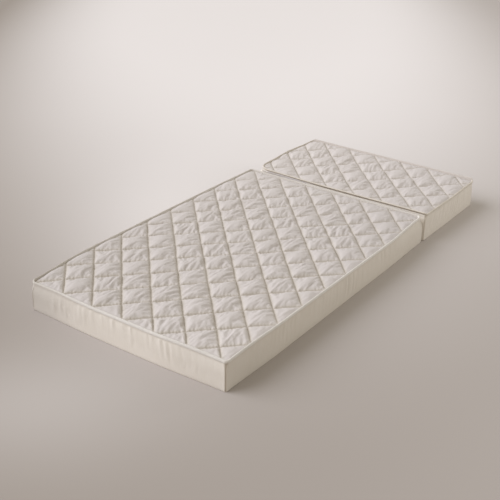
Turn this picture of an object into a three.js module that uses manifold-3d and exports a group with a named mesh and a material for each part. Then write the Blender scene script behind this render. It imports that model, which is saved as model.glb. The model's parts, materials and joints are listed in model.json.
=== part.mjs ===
// Folding mattress made of two quilted pads of one width, a long one and a short one.
// A fabric strip sunk in the crevice joins the pads' top edges, so that the short pad
// folds up and over onto the long one. Each pad is a foam core in a zipped cover.
// Millimetres, +Z up, X across the width, Y along the length, origin at the middle of
// the underside.

import * as THREE from 'three';
import { mergeVertices } from 'three/addons/utils/BufferGeometryUtils.js';
import Module from 'manifold-3d';

const wasm = await Module();
wasm.setup();

// Whole mattress
const mattressWidth = 900;
const mattressLength = 1900;
const shortPadLength = 497;
const crevice = 6;
const longPadLength = mattressLength - shortPadLength - crevice;
const sewingGap = 0.3;
const cutOverrun = 20;

// Base cloth and foam core
const baseThickness = 2;
const coreHeight = 102;

// Side walls: a band of plain cloth round each pad, fullest at the belly and drawn in at the top
const wallOverCore = 1.7;
const wallHeight = baseThickness + sewingGap + coreHeight + wallOverCore;
const wallThickness = 2.6;
const bellyLow = 20;
const bellyHigh = 60;
const hemInset = 3;
const shoulderInset = 8;
const creviceEase = 4;
const wallCornerRadius = 32;
const topCornerRadius = 65;
const cornerSteps = 8;

// Rows of the wall, bottom to top, as shares of the stretch under or over the belly
const hemRowShares = [
  { height: 0, inset: 1 },
  { height: 0.45, inset: 0.25 },
  { height: 1, inset: 0 },
];
const shoulderRowShares = [
  { height: 0, inset: 0, corner: 0 },
  { height: 0.4, inset: 0.14, corner: 0.1 },
  { height: 0.75, inset: 0.5, corner: 0.45 },
  { height: 1, inset: 1, corner: 1 },
];

// Binding: a padded tape that rolls over the top edge
const bindingHeight = 12;
const bindingWidth = 13.3;
const bindingSectionShares = [
  { across: 0, up: 0 },
  { across: 0.03, up: 0.4 },
  { across: 0.18, up: 0.74 },
  { across: 0.4, up: 0.94 },
  { across: 0.65, up: 1 },
  { across: 0.88, up: 0.87 },
  { across: 1, up: 0.57 },
  { across: 1, up: 0 },
];

// Quilted top: wadding stitched through in diamonds, its puffs highest in the middle
const seamThickness = 7.2;
const crownRise = 3;
const puffRise = 7.2;
const puffEdge = 70;
const puffEdgeShare = 0.45;
const puffShoulderShare = 0.5;
const puffShoulderRiseShare = 0.78;
const diamondLength = 151.5;
const diamondWidth = 143.5;
const longSeamFromEnd = 72;
const longSeamFromSide = 72;
const shortSeamFromEnd = 40;
const shortSeamFromSide = 106;

// Hinge strip: cloth that dips into the crevice between the two bindings
const stripThickness = 1.2;
const stripSeamShare = 0.725;
const stripSag = 9;
const stripEndMargin = 12;
const stripSteps = 12;

// Zips of the covers, on the left side of the long pad and the far end of the short one
const longZipFromEnd = 98.5;
const shortZipFromSide = 90;
const longZipLength = longPadLength - 2 * longZipFromEnd;
const shortZipLength = mattressWidth - 2 * shortZipFromSide;
const zipPocketDepth = 1.5;
const tapeWidth = 14;
const tapeThickness = 1;
const tapeTail = 15;
const chainWidth = 2.8;
const chainThickness = 2.2;
const stopLength = 3;

const sliderLength = 13;
const sliderFlange = 2.2;
const sliderRoof = 1.4;
const sliderNoseShare = 0.72;
const sliderWaistShare = 0.3;
const sliderEndPlay = 1;

const bridgeWidth = 2.2;
const bridgeWall = 1.1;
const bridgePost = 1.8;
const pullBarRadius = 0.7;
const pullBarSteps = 16;
const pullArm = 1.2;
const pullGap = 0.4;
const pullReach = 4.4;
const pullLength = 20;
const pullTipShare = 0.7;

// Heights that follow from the stack
const coreBottom = baseThickness + sewingGap;
const coreTop = coreBottom + coreHeight;
const panelBottom = coreTop + sewingGap;
const bindingBottom = wallHeight + sewingGap;
const bindingInset = shoulderInset;
const panelInset = bindingInset + bindingWidth + sewingGap;

const halfWidth = mattressWidth / 2;
const halfLength = mattressLength / 2;
const longPad = {
  low: -halfLength,
  high: -halfLength + longPadLength,
  creviceSide: 'high',
  seamX: halfWidth - longSeamFromSide,
  seamY: -halfLength + longSeamFromEnd,
};
const shortPad = {
  low: halfLength - shortPadLength,
  high: halfLength,
  creviceSide: 'low',
  seamX: halfWidth - shortSeamFromSide,
  seamY: halfLength - shortPadLength + shortSeamFromEnd,
};
const creviceMiddle = longPad.high + crevice / 2;

const creamCloth = new THREE.MeshStandardMaterial({ color: 0xd6cbb8, roughness: 0.95, metalness: 0 });
const quiltCloth = new THREE.MeshStandardMaterial({ color: 0xdcd5cf, roughness: 0.95, metalness: 0 });
const tapeCloth = new THREE.MeshStandardMaterial({ color: 0xe2dfd8, roughness: 0.9, metalness: 0 });
const foamFinish = new THREE.MeshStandardMaterial({ color: 0xe8dcae, roughness: 1, metalness: 0 });
const zipNylon = new THREE.MeshStandardMaterial({ color: 0xcfc6b6, roughness: 0.6, metalness: 0 });
const zipMetal = new THREE.MeshStandardMaterial({ color: 0xb5b3ae, roughness: 0.35, metalness: 0.9 });

function mix(a, b, share) {
  return a + (b - a) * share;
}

function clamp(value, low, high) {
  return Math.min(Math.max(value, low), high);
}

// Side walls as rows of height, inset from the belly and corner radius
function wallRows() {
  const hem = hemRowShares.map((row) => ({
    z: bellyLow * row.height,
    inset: hemInset * row.inset,
    radius: wallCornerRadius,
  }));
  const shoulder = shoulderRowShares.map((row) => ({
    z: mix(bellyHigh, wallHeight, row.height),
    inset: shoulderInset * row.inset,
    radius: mix(wallCornerRadius, topCornerRadius, row.corner),
  }));
  return [...hem, ...shoulder];
}

// The wall's row at any height, between the rows given above
function rowAt(z) {
  const rows = wallRows();
  const next = clamp(rows.filter((row) => row.z <= z).length, 1, rows.length - 1);
  const a = rows[next - 1];
  const b = rows[next];
  const share = clamp((z - a.z) / (b.z - a.z), 0, 1);
  return { z, inset: mix(a.inset, b.inset, share), radius: mix(a.radius, b.radius, share) };
}

// The walls that face each other across the crevice are drawn in less than the others
function creviceInset(inset) {
  return inset - creviceEase * clamp(inset / shoulderInset, 0, 1);
}

// A pad's rounded outline at one height, counter-clockwise, drawn in and stepped back by depth
function outline(pad, inset, radius, depth, z) {
  const sideInset = inset + depth;
  const facingInset = creviceInset(inset) + depth;
  const left = -halfWidth + sideInset;
  const right = halfWidth - sideInset;
  const low = pad.low + (pad.creviceSide === 'low' ? facingInset : sideInset);
  const high = pad.high - (pad.creviceSide === 'high' ? facingInset : sideInset);
  const round = clamp(radius - depth, sewingGap, Math.min(right - left, high - low) / 2 - sewingGap);
  const centres = [
    { x: right - round, y: low + round, start: -Math.PI / 2 },
    { x: right - round, y: high - round, start: 0 },
    { x: left + round, y: high - round, start: Math.PI / 2 },
    { x: left + round, y: low + round, start: Math.PI },
  ];
  const ring = [];
  for (const centre of centres) {
    for (let step = 0; step <= cornerSteps; step += 1) {
      const angle = centre.start + (Math.PI / 2) * (step / cornerSteps);
      ring.push(new THREE.Vector3(
        centre.x + round * Math.cos(angle),
        centre.y + round * Math.sin(angle),
        z,
      ));
    }
  }
  return ring;
}

// A closed mesh through rings of equal count, either capped or joined back to its first ring
function loft(rings, capped) {
  const count = rings[0].length;
  const positions = rings.flat().flatMap((point) => point.toArray());
  const faces = [];
  const bands = capped ? rings.length - 1 : rings.length;
  for (let band = 0; band < bands; band += 1) {
    const lower = band * count;
    const upper = ((band + 1) % rings.length) * count;
    for (let i = 0; i < count; i += 1) {
      const j = (i + 1) % count;
      faces.push(lower + i, lower + j, upper + j);
      faces.push(lower + i, upper + j, upper + i);
    }
  }
  if (capped) {
    const top = (rings.length - 1) * count;
    const cap = THREE.ShapeUtils.triangulateShape(
      rings[0].map((point) => new THREE.Vector2(point.x, point.y)),
      [],
    );
    for (const [a, b, c] of cap) {
      faces.push(a, c, b);
      faces.push(top + a, top + b, top + c);
    }
  }
  return meshGeometry(positions, faces);
}

function meshGeometry(positions, faces) {
  const geometry = new THREE.BufferGeometry();
  geometry.setAttribute('position', new THREE.Float32BufferAttribute(positions, 3));
  geometry.setIndex(faces);
  return geometry;
}

function toSolid(source) {
  const geometry = source.clone();
  geometry.deleteAttribute('normal');
  geometry.deleteAttribute('uv');
  const merged = mergeVertices(geometry);
  return new wasm.Manifold(new wasm.Mesh({
    numProp: 3,
    vertProperties: new Float32Array(merged.attributes.position.array),
    triVerts: new Uint32Array(merged.index.array),
  }));
}

function toGeometry(solid) {
  const mesh = solid.getMesh();
  return meshGeometry(Array.from(mesh.vertProperties), Array.from(mesh.triVerts));
}

function named(name, geometry, material) {
  geometry.computeVertexNormals();
  const mesh = new THREE.Mesh(geometry, material);
  mesh.name = name;
  return mesh;
}

// A box from its lowest and highest corners
function boxBetween(low, high) {
  const size = high.map((value, i) => value - low[i]);
  const geometry = new THREE.BoxGeometry(size[0], size[1], size[2]);
  geometry.translate(low[0] + size[0] / 2, low[1] + size[1] / 2, low[2] + size[2] / 2);
  return geometry;
}

// A flat outline drawn in two of the axes and drawn out along the third
function drawnOut(points, low, high, matrix) {
  const shape = new THREE.Shape(points.map(([a, b]) => new THREE.Vector2(a, b)));
  const geometry = new THREE.ExtrudeGeometry(shape, { depth: high - low, bevelEnabled: false });
  geometry.translate(0, 0, low);
  geometry.applyMatrix4(matrix);
  return geometry;
}

const axisX = new THREE.Vector3(1, 0, 0);
const axisY = new THREE.Vector3(0, 1, 0);
const axisZ = new THREE.Vector3(0, 0, 1);
const alongX = new THREE.Matrix4().makeBasis(axisY, axisZ, axisX);
const alongY = new THREE.Matrix4().makeBasis(axisZ, axisX, axisY);
const alongZ = new THREE.Matrix4().makeBasis(axisX, axisY, axisZ);

// Foam core, following the inside of the walls
function foamCore(pad) {
  const between = wallRows().map((row) => row.z).filter((z) => z > coreBottom && z < coreTop);
  const rings = [coreBottom, ...between, coreTop].map((z) => {
    const row = rowAt(z);
    return outline(pad, row.inset, row.radius, wallThickness + sewingGap, z);
  });
  return loft(rings, true);
}

// Base cloth, inside the foot of the walls
function baseCloth(pad) {
  const hem = rowAt(0);
  const heights = [0, baseThickness];
  return loft(
    heights.map((z) => outline(pad, hem.inset, hem.radius, wallThickness + sewingGap, z)),
    true,
  );
}

// Wall band: its outer face from the hem up, then its inner face back down
function wallBand(pad, pocket) {
  const rows = wallRows();
  const outer = rows.map((row) => outline(pad, row.inset, row.radius, 0, row.z));
  const inner = rows.map((row) => outline(pad, row.inset, row.radius, wallThickness, row.z)).reverse();
  const band = toSolid(loft([...outer, ...inner], false));
  return toGeometry(band.subtract(toSolid(pocket)));
}

// Binding roll on the top edge
function topBinding(pad) {
  const rings = bindingSectionShares.map((point) => outline(
    pad,
    bindingInset,
    topCornerRadius,
    bindingWidth * point.across,
    bindingBottom + bindingHeight * point.up,
  ));
  return loft(rings, false);
}

// Height of the quilted top's seams, and how far a puff stands above them
function seamHeight(pad, x, y) {
  const middle = (pad.low + pad.high) / 2;
  const across = clamp(x / halfWidth, -1, 1);
  const along = clamp((y - middle) / (pad.high - middle), -1, 1);
  return panelBottom + seamThickness + crownRise * (1 - across ** 2) * (1 - along ** 2);
}

function puffHeight(pad, x, y) {
  const fromSide = halfWidth - Math.abs(x);
  const fromEnd = Math.min(y - pad.low, pad.high - y);
  const share = clamp((Math.min(fromSide, fromEnd) - panelInset) / puffEdge, 0, 1);
  return puffRise * mix(puffEdgeShare, 1, share);
}

// Quilted top: diamonds between seam crossings, each a low pillow, trimmed to the binding
function quiltedTop(pad) {
  const positions = [];
  const faces = [];
  const shared = new Map();
  const edges = new Map();
  const stepX = diamondWidth / 2;
  const stepY = diamondLength / 2;

  function vertex(key, x, y, z) {
    if (!shared.has(key)) {
      shared.set(key, positions.length / 3);
      positions.push(x, y, z);
    }
    return shared.get(key);
  }
  function crossing(p, q) {
    const x = pad.seamX + p * stepX;
    const y = pad.seamY + q * stepY;
    return {
      x,
      y,
      top: vertex(`top ${p} ${q}`, x, y, seamHeight(pad, x, y)),
      bottom: vertex(`bottom ${p} ${q}`, x, y, panelBottom - cutOverrun),
    };
  }

  const firstP = Math.floor((-halfWidth - pad.seamX) / stepX) - 1;
  const lastP = Math.ceil((halfWidth - pad.seamX) / stepX) + 1;
  const firstQ = Math.floor((pad.low - pad.seamY) / stepY) - 1;
  const lastQ = Math.ceil((pad.high - pad.seamY) / stepY) + 1;
  for (let p = firstP; p <= lastP; p += 1) {
    for (let q = firstQ; q <= lastQ; q += 1) {
      if ((p + q) % 2 === 0) continue;
      const x = pad.seamX + p * stepX;
      const y = pad.seamY + q * stepY;
      const corners = [crossing(p + 1, q), crossing(p, q + 1), crossing(p - 1, q), crossing(p, q - 1)];
      const puff = puffHeight(pad, x, y);
      const centre = vertex(`centre ${p} ${q}`, x, y, seamHeight(pad, x, y) + puff);
      const ring = corners.map((corner, i) => {
        const ringX = mix(x, corner.x, puffShoulderShare);
        const ringY = mix(y, corner.y, puffShoulderShare);
        const height = seamHeight(pad, ringX, ringY) + puff * puffShoulderRiseShare;
        return vertex(`ring ${p} ${q} ${i}`, ringX, ringY, height);
      });
      corners.forEach((corner, i) => {
        const j = (i + 1) % corners.length;
        const next = corners[j];
        faces.push(centre, ring[i], ring[j]);
        faces.push(ring[i], corner.top, next.top);
        faces.push(ring[i], next.top, ring[j]);
        const edge = `${corner.top} ${next.top}`;
        const opposite = `${next.top} ${corner.top}`;
        if (edges.has(opposite)) {
          edges.delete(opposite);
        } else {
          edges.set(edge, [corner, next]);
        }
      });
      faces.push(corners[0].bottom, corners[2].bottom, corners[1].bottom);
      faces.push(corners[0].bottom, corners[3].bottom, corners[2].bottom);
    }
  }
  for (const [corner, next] of edges.values()) {
    faces.push(corner.top, corner.bottom, next.bottom);
    faces.push(corner.top, next.bottom, next.top);
  }

  const trim = loft([panelBottom, panelBottom + seamThickness + crownRise + puffRise + cutOverrun].map(
    (z) => outline(pad, bindingInset, topCornerRadius, panelInset - bindingInset, z),
  ), true);
  return toGeometry(toSolid(meshGeometry(positions, faces)).intersect(toSolid(trim)));
}

// The seam that holds the strip, a share of the way up the binding's outer face
function stripSeam() {
  const crest = bindingSectionShares.findIndex(
    (point, i, all) => i === all.length - 1 || all[i + 1].up < point.up,
  );
  const under = bindingSectionShares.slice(0, crest + 1).filter((point) => point.up <= stripSeamShare);
  const next = clamp(under.length, 1, crest);
  const a = bindingSectionShares[next - 1];
  const b = bindingSectionShares[next];
  const slope = (bindingWidth * (b.across - a.across)) / (bindingHeight * (b.up - a.up));
  const face = bindingWidth * mix(a.across, b.across, (stripSeamShare - a.up) / (b.up - a.up));
  const standOff = (stripThickness / 2 + sewingGap) * Math.sqrt(1 + slope ** 2);
  return {
    z: bindingBottom + bindingHeight * stripSeamShare,
    halfSpan: crevice / 2 + creviceInset(bindingInset) + face - standOff,
  };
}

// Hinge strip: a sagging section with round edges, whose centres are the two fold axes
function hingeStrip() {
  const { z, halfSpan } = stripSeam();
  const line = [];
  for (let step = 0; step <= stripSteps; step += 1) {
    const share = (2 * step) / stripSteps - 1;
    line.push({
      y: halfSpan * share,
      z: z - stripSag * (1 - share ** 2),
      tilt: (2 * stripSag * share) / halfSpan,
    });
  }
  const half = stripThickness / 2;
  const normalOf = (point) => Math.atan2(1, -point.tilt);
  const offset = (point, angle) => [
    creviceMiddle + point.y + half * Math.cos(angle),
    point.z + half * Math.sin(angle),
  ];
  const first = line[0];
  const last = line[line.length - 1];
  const roundShares = [0.25, 0.5, 0.75];
  const points = [
    ...line.map((point) => offset(point, normalOf(point) + Math.PI)),
    ...roundShares.map((share) => offset(last, normalOf(last) - Math.PI * (1 - share))),
    ...line.map((point) => offset(point, normalOf(point))).reverse(),
    ...roundShares.map((share) => offset(first, normalOf(first) + Math.PI * share)),
  ];
  const reach = halfWidth - shoulderInset - topCornerRadius - stripEndMargin;
  return drawnOut(points, -reach, reach, alongX);
}

// Zip parts, drawn with the zip running along X, outward along Y and its middle line at zero
const chainBack = -zipPocketDepth + sewingGap;
const chainFront = chainBack + chainThickness;
const tapeFront = chainBack + tapeThickness;
const chainInner = sewingGap / 2;
const chainOuter = chainInner + chainWidth;
const tapeInner = chainOuter + sewingGap;
const tapeOuter = tapeInner + tapeWidth;
const roofBottom = chainFront + sewingGap;
const roofTop = roofBottom + sliderRoof;
const pullAxis = roofTop + sewingGap + pullBarRadius;

function zipPocket(length) {
  const reach = length / 2 + tapeTail + sewingGap;
  const height = tapeOuter + sewingGap;
  return boxBetween([-reach, -zipPocketDepth, -height], [reach, cutOverrun, height]);
}

function zipTape(length, side) {
  const reach = length / 2 + tapeTail;
  const heights = [side * tapeInner, side * tapeOuter].sort((a, b) => a - b);
  return boxBetween([-reach, chainBack, heights[0]], [reach, tapeFront, heights[1]]);
}

function zipChain(length, side) {
  const heights = [side * chainInner, side * chainOuter].sort((a, b) => a - b);
  return boxBetween([-length / 2, chainBack, heights[0]], [length / 2, chainFront, heights[1]]);
}

function zipStop(length, side) {
  const from = length / 2 + sewingGap;
  const places = [side * from, side * (from + stopLength)].sort((a, b) => a - b);
  return boxBetween([places[0], chainBack, -chainOuter], [places[1], chainFront, chainOuter]);
}

// Slider: a channel over the chain, waisted towards its tail, with a bridge for the pull
function zipSlider() {
  const outer = tapeInner + sliderFlange;
  const inner = tapeInner;
  const channel = drawnOut([
    [-outer, tapeFront + sewingGap],
    [-inner, tapeFront + sewingGap],
    [-inner, roofBottom],
    [inner, roofBottom],
    [inner, tapeFront + sewingGap],
    [outer, tapeFront + sewingGap],
    [outer, roofTop],
    [-outer, roofTop],
  ].map(([z, y]) => [z, -y]), -sliderLength / 2, sliderLength / 2, new THREE.Matrix4().makeBasis(
    axisZ,
    axisY.clone().negate(),
    axisX,
  ));
  const half = sliderLength / 2;
  const tail = mix(inner, outer, sliderWaistShare);
  const nose = mix(inner, outer, sliderNoseShare);
  const plan = drawnOut([
    [-half, -nose],
    [-half * sliderNoseShare, -outer],
    [0, -outer],
    [half, -tail],
    [half, tail],
    [0, outer],
    [-half * sliderNoseShare, outer],
    [-half, nose],
  ].map(([x, z]) => [z, x]), 0, roofTop + sewingGap, alongY);
  const bridgeHole = pullBarRadius + sewingGap;
  const bridgeFoot = bridgeHole + bridgePost;
  const bridgeTop = pullAxis + bridgeHole + bridgeWall;
  const bridge = boxBetween(
    [-bridgeFoot, roofTop - sliderRoof / 2, -bridgeWidth / 2],
    [bridgeFoot, bridgeTop, bridgeWidth / 2],
  );
  const slot = boxBetween(
    [-bridgeHole, roofTop, -bridgeWidth],
    [bridgeHole, pullAxis + bridgeHole, bridgeWidth],
  );
  const body = toSolid(channel).intersect(toSolid(plan));
  return toGeometry(body.add(toSolid(bridge)).subtract(toSolid(slot)));
}

// Pull: a bar through the bridge, two arms beside it and a flat tab
function zipPull() {
  const armInner = bridgeWidth / 2 + pullGap;
  const armOuter = armInner + pullArm;
  const bar = new THREE.CylinderGeometry(pullBarRadius, pullBarRadius, 2 * armOuter, pullBarSteps);
  bar.rotateX(Math.PI / 2);
  const tip = pullReach + pullLength;
  const tab = drawnOut([
    [0, -armOuter],
    [pullReach, -armOuter],
    [tip - armOuter, -armOuter],
    [tip, -armOuter * pullTipShare],
    [tip, armOuter * pullTipShare],
    [tip - armOuter, armOuter],
    [pullReach, armOuter],
    [0, armOuter],
  ].map(([x, z]) => [z, x]), -pullBarRadius, pullBarRadius, alongY);
  const window = boxBetween(
    [-pullReach, -pullReach, -armInner],
    [pullReach, pullReach, armInner],
  );
  const outer = toSolid(tab).subtract(toSolid(window));
  return toGeometry(outer.add(toSolid(bar)));
}

function zipGroup(prefix, length) {
  const group = new THREE.Group();
  const sides = [{ name: 'upper', side: 1 }, { name: 'lower', side: -1 }];
  for (const { name, side } of sides) {
    group.add(named(`${prefix}_zip_tape_${name}`, zipTape(length, side), creamCloth));
    group.add(named(`${prefix}_zip_teeth_${name}`, zipChain(length, side), zipNylon));
  }
  group.add(named(`${prefix}_zip_stop_closed`, zipStop(length, -1), zipMetal));
  group.add(named(`${prefix}_zip_stop_open`, zipStop(length, 1), zipMetal));
  const runner = new THREE.Group();
  runner.position.x = -length / 2 + sliderLength / 2 + sliderEndPlay;
  runner.add(named(`${prefix}_zip_slider`, zipSlider(), zipMetal));
  const pull = named(`${prefix}_zip_pull`, zipPull(), zipMetal);
  pull.position.y = pullAxis;
  runner.add(pull);
  group.add(runner);
  return group;
}

function padGroup(prefix, pad, zipLength, zipPlace) {
  const group = new THREE.Group();
  const zip = zipGroup(prefix, zipLength);
  zip.applyMatrix4(zipPlace);
  const pocket = zipPocket(zipLength).applyMatrix4(zipPlace);
  group.add(named(`${prefix}_foam_core`, foamCore(pad), foamFinish));
  group.add(named(`${prefix}_base_cloth`, baseCloth(pad), creamCloth));
  group.add(named(`${prefix}_side_wall`, wallBand(pad, pocket), creamCloth));
  group.add(named(`${prefix}_quilted_top`, quiltedTop(pad), quiltCloth));
  group.add(named(`${prefix}_top_binding`, topBinding(pad), tapeCloth));
  group.add(zip);
  return group;
}

const zipHeight = (bellyLow + bellyHigh) / 2;
const longZipPlace = new THREE.Matrix4().makeRotationZ(Math.PI / 2);
longZipPlace.setPosition(-halfWidth, (longPad.low + longPad.high) / 2, zipHeight);
const shortZipPlace = new THREE.Matrix4().makeTranslation(0, shortPad.high, zipHeight);

const mattress = new THREE.Group();
mattress.add(padGroup('long', longPad, longZipLength, longZipPlace));
mattress.add(padGroup('short', shortPad, shortZipLength, shortZipPlace));
mattress.add(named('hinge_strip', hingeStrip(), creamCloth));

export default mattress;
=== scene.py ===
import json
import math

import bmesh
import bpy
import numpy as np
from mathutils import Matrix, Vector

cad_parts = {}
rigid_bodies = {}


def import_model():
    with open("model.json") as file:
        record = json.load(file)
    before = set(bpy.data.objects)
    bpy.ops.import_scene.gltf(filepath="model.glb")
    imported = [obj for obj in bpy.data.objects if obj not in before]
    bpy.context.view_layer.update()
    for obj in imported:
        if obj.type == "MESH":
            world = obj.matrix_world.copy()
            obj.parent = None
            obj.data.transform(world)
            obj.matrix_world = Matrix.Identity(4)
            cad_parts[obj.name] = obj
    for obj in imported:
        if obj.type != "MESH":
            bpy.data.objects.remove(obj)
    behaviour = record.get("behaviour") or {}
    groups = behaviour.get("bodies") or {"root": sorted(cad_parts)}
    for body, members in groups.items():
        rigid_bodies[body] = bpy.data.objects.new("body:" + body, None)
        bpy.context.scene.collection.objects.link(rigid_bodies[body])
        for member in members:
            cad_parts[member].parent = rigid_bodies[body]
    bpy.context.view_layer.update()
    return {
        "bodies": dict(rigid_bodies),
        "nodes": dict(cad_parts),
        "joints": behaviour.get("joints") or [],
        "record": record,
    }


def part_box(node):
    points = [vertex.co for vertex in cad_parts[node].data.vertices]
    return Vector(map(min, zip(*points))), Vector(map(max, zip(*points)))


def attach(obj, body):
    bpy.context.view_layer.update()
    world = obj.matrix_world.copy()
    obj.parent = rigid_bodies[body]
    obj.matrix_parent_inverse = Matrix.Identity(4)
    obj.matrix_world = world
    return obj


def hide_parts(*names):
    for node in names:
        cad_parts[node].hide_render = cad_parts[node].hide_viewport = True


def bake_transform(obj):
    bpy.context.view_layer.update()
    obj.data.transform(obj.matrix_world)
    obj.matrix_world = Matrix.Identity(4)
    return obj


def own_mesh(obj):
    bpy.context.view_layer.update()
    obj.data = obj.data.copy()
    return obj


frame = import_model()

# A folding mattress: a long and a short quilted pad on a pale floor, joined by a cloth hinge
# at the top of the crevice. Metres, Z up. Every size comes from the frame's own pieces or
# from the dictionary beside the code that uses it.

mm = 0.001
scene = bpy.context.scene
scene.view_settings.view_transform = "Standard"


# The camera

cameraView = {
    "target": (-0.0889, -0.0618, 0.0),
    "bearing": -0.96114,     # from +X, in radians
    "elevation": 0.4575,
    "distance": 3.828,
    "roll": 0.02037,
    "lens": 66.52,
    "sensor": 36.0,
}


def makeCamera(view):
    flat = math.cos(view["elevation"])
    back = Vector((
        math.cos(view["bearing"]) * flat,
        math.sin(view["bearing"]) * flat,
        math.sin(view["elevation"]),
    ))
    right = (-back).cross(Vector((0, 0, 1))).normalized()
    up = back.cross(right)
    turn, lean = math.cos(view["roll"]), math.sin(view["roll"])
    tiltedRight = turn * right + lean * up
    tiltedUp = turn * up - lean * right
    data = bpy.data.cameras.new("photo_camera")
    data.lens = view["lens"]
    data.sensor_width = view["sensor"]
    data.clip_end = 100.0
    camera = bpy.data.objects.new("photo_camera", data)
    scene.collection.objects.link(camera)
    turned = Matrix((tiltedRight, tiltedUp, back)).transposed().to_4x4()
    place = Vector(view["target"]) + view["distance"] * back
    camera.matrix_world = Matrix.Translation(place) @ turned
    scene.camera = camera


makeCamera(cameraView)
print("camera placed")


# Numbers and meshes

noiseSize = 256
noiseTable = np.random.default_rng(11).uniform(-1, 1, (noiseSize, noiseSize))


def mix(a, b, share):
    return a + (b - a) * share


def ease(low, high, value):
    share = np.clip((value - low) / (high - low), 0, 1)
    return share * share * (3 - 2 * share)


def bell(distance, width):
    return np.exp(-(distance / width) ** 2)


# smooth random hills from -1 to 1, each about one unit across
def hills(x, y, seed=0):
    x, y = np.broadcast_arrays(x, y)
    column, row = np.floor(x).astype(int), np.floor(y).astype(int)
    across, along = x - column, y - row
    across = across * across * (3 - 2 * across)
    along = along * along * (3 - 2 * along)

    def at(right, up):
        return noiseTable[(column + right + 17 * seed) % noiseSize, (row + up + 41 * seed) % noiseSize]

    return mix(mix(at(0, 0), at(1, 0), across), mix(at(0, 1), at(1, 1), across), along)


def addObject(name, points, faces, finish=None, smooth=True):
    mesh = bpy.data.meshes.new(name)
    mesh.from_pydata(np.asarray(points).tolist(), [], [list(map(int, face)) for face in faces])
    mesh.update()
    if smooth:
        mesh.shade_smooth()
    if finish:
        mesh.materials.append(finish)
    piece = bpy.data.objects.new(name, mesh)
    scene.collection.objects.link(piece)
    return piece


def setPointValues(piece, name, values):
    attribute = piece.data.attributes.new(name, "FLOAT", "POINT")
    attribute.data.foreach_set("value", np.asarray(values, np.float32).ravel())


def pointValues(mesh, name):
    values = np.empty(len(mesh.vertices), np.float32)
    mesh.attributes[name].data.foreach_get("value", values)
    return values.astype(float)


def meshPoints(mesh):
    points = np.empty(len(mesh.vertices) * 3, np.float32)
    mesh.vertices.foreach_get("co", points)
    return points.reshape(-1, 3).astype(float)


def seat(piece, body, slot, *nodes):
    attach(piece, body)
    if nodes:
        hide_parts(*nodes)


# gives a piece its own copy of its mesh
def pressFlat(piece):
    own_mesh(piece)


def faceOutwards(piece):
    mesh = bmesh.new()
    mesh.from_mesh(piece.data)
    bmesh.ops.recalc_face_normals(mesh, faces=mesh.faces)
    mesh.to_mesh(piece.data)
    mesh.free()


# faces of a tube: rows of points, each row a closed ring; a closed tube joins its last row to the first
def tubeFaces(rows, count, closed=True):
    row = np.arange(rows if closed else rows - 1)[:, None]
    place = np.arange(count)[None, :]
    nextRow, nextPlace = (row + 1) % rows, (place + 1) % count
    quads = np.stack([
        row * count + place,
        row * count + nextPlace,
        nextRow * count + nextPlace,
        nextRow * count + place,
    ], axis=-1)
    return quads.reshape(-1, 4)


def cappedTube(rows, count):
    ends = [list(reversed(range(count))), [(rows - 1) * count + i for i in range(count)]]
    return [list(quad) for quad in tubeFaces(rows, count, closed=False)] + ends


# Finishes

class Wire:    # one output of a node; sums and products of wires add their Math nodes
    def __init__(self, finish, socket):
        self.finish = finish
        self.socket = socket

    def maths(self, operation, *values):
        return self.finish.node("ShaderNodeMath", {"operation": operation}, dict(enumerate(values)))

    def __add__(self, other):
        return self.maths("ADD", self, other)

    def __radd__(self, other):
        return self.maths("ADD", other, self)

    def __sub__(self, other):
        return self.maths("SUBTRACT", self, other)

    def __rsub__(self, other):
        return self.maths("SUBTRACT", other, self)

    def __mul__(self, other):
        return self.maths("MULTIPLY", self, other)

    def __rmul__(self, other):
        return self.maths("MULTIPLY", other, self)

    def sine(self):
        return self.maths("SINE", self)

    def size(self):
        return self.maths("ABSOLUTE", self)

    def between(self, low, high):    # 0 at low and 1 at high, held outside them
        return self.finish.node(
            "ShaderNodeMapRange",
            {"interpolation_type": "SMOOTHSTEP"},
            {"Value": self, "From Min": low, "From Max": high},
        )


shaderInputs = {
    "colour": "Base Color", "roughness": "Roughness", "normal": "Normal", "metallic": "Metallic",
    "specular": "Specular IOR Level", "sheen": "Sheen Weight", "sheenRoughness": "Sheen Roughness",
}


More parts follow.
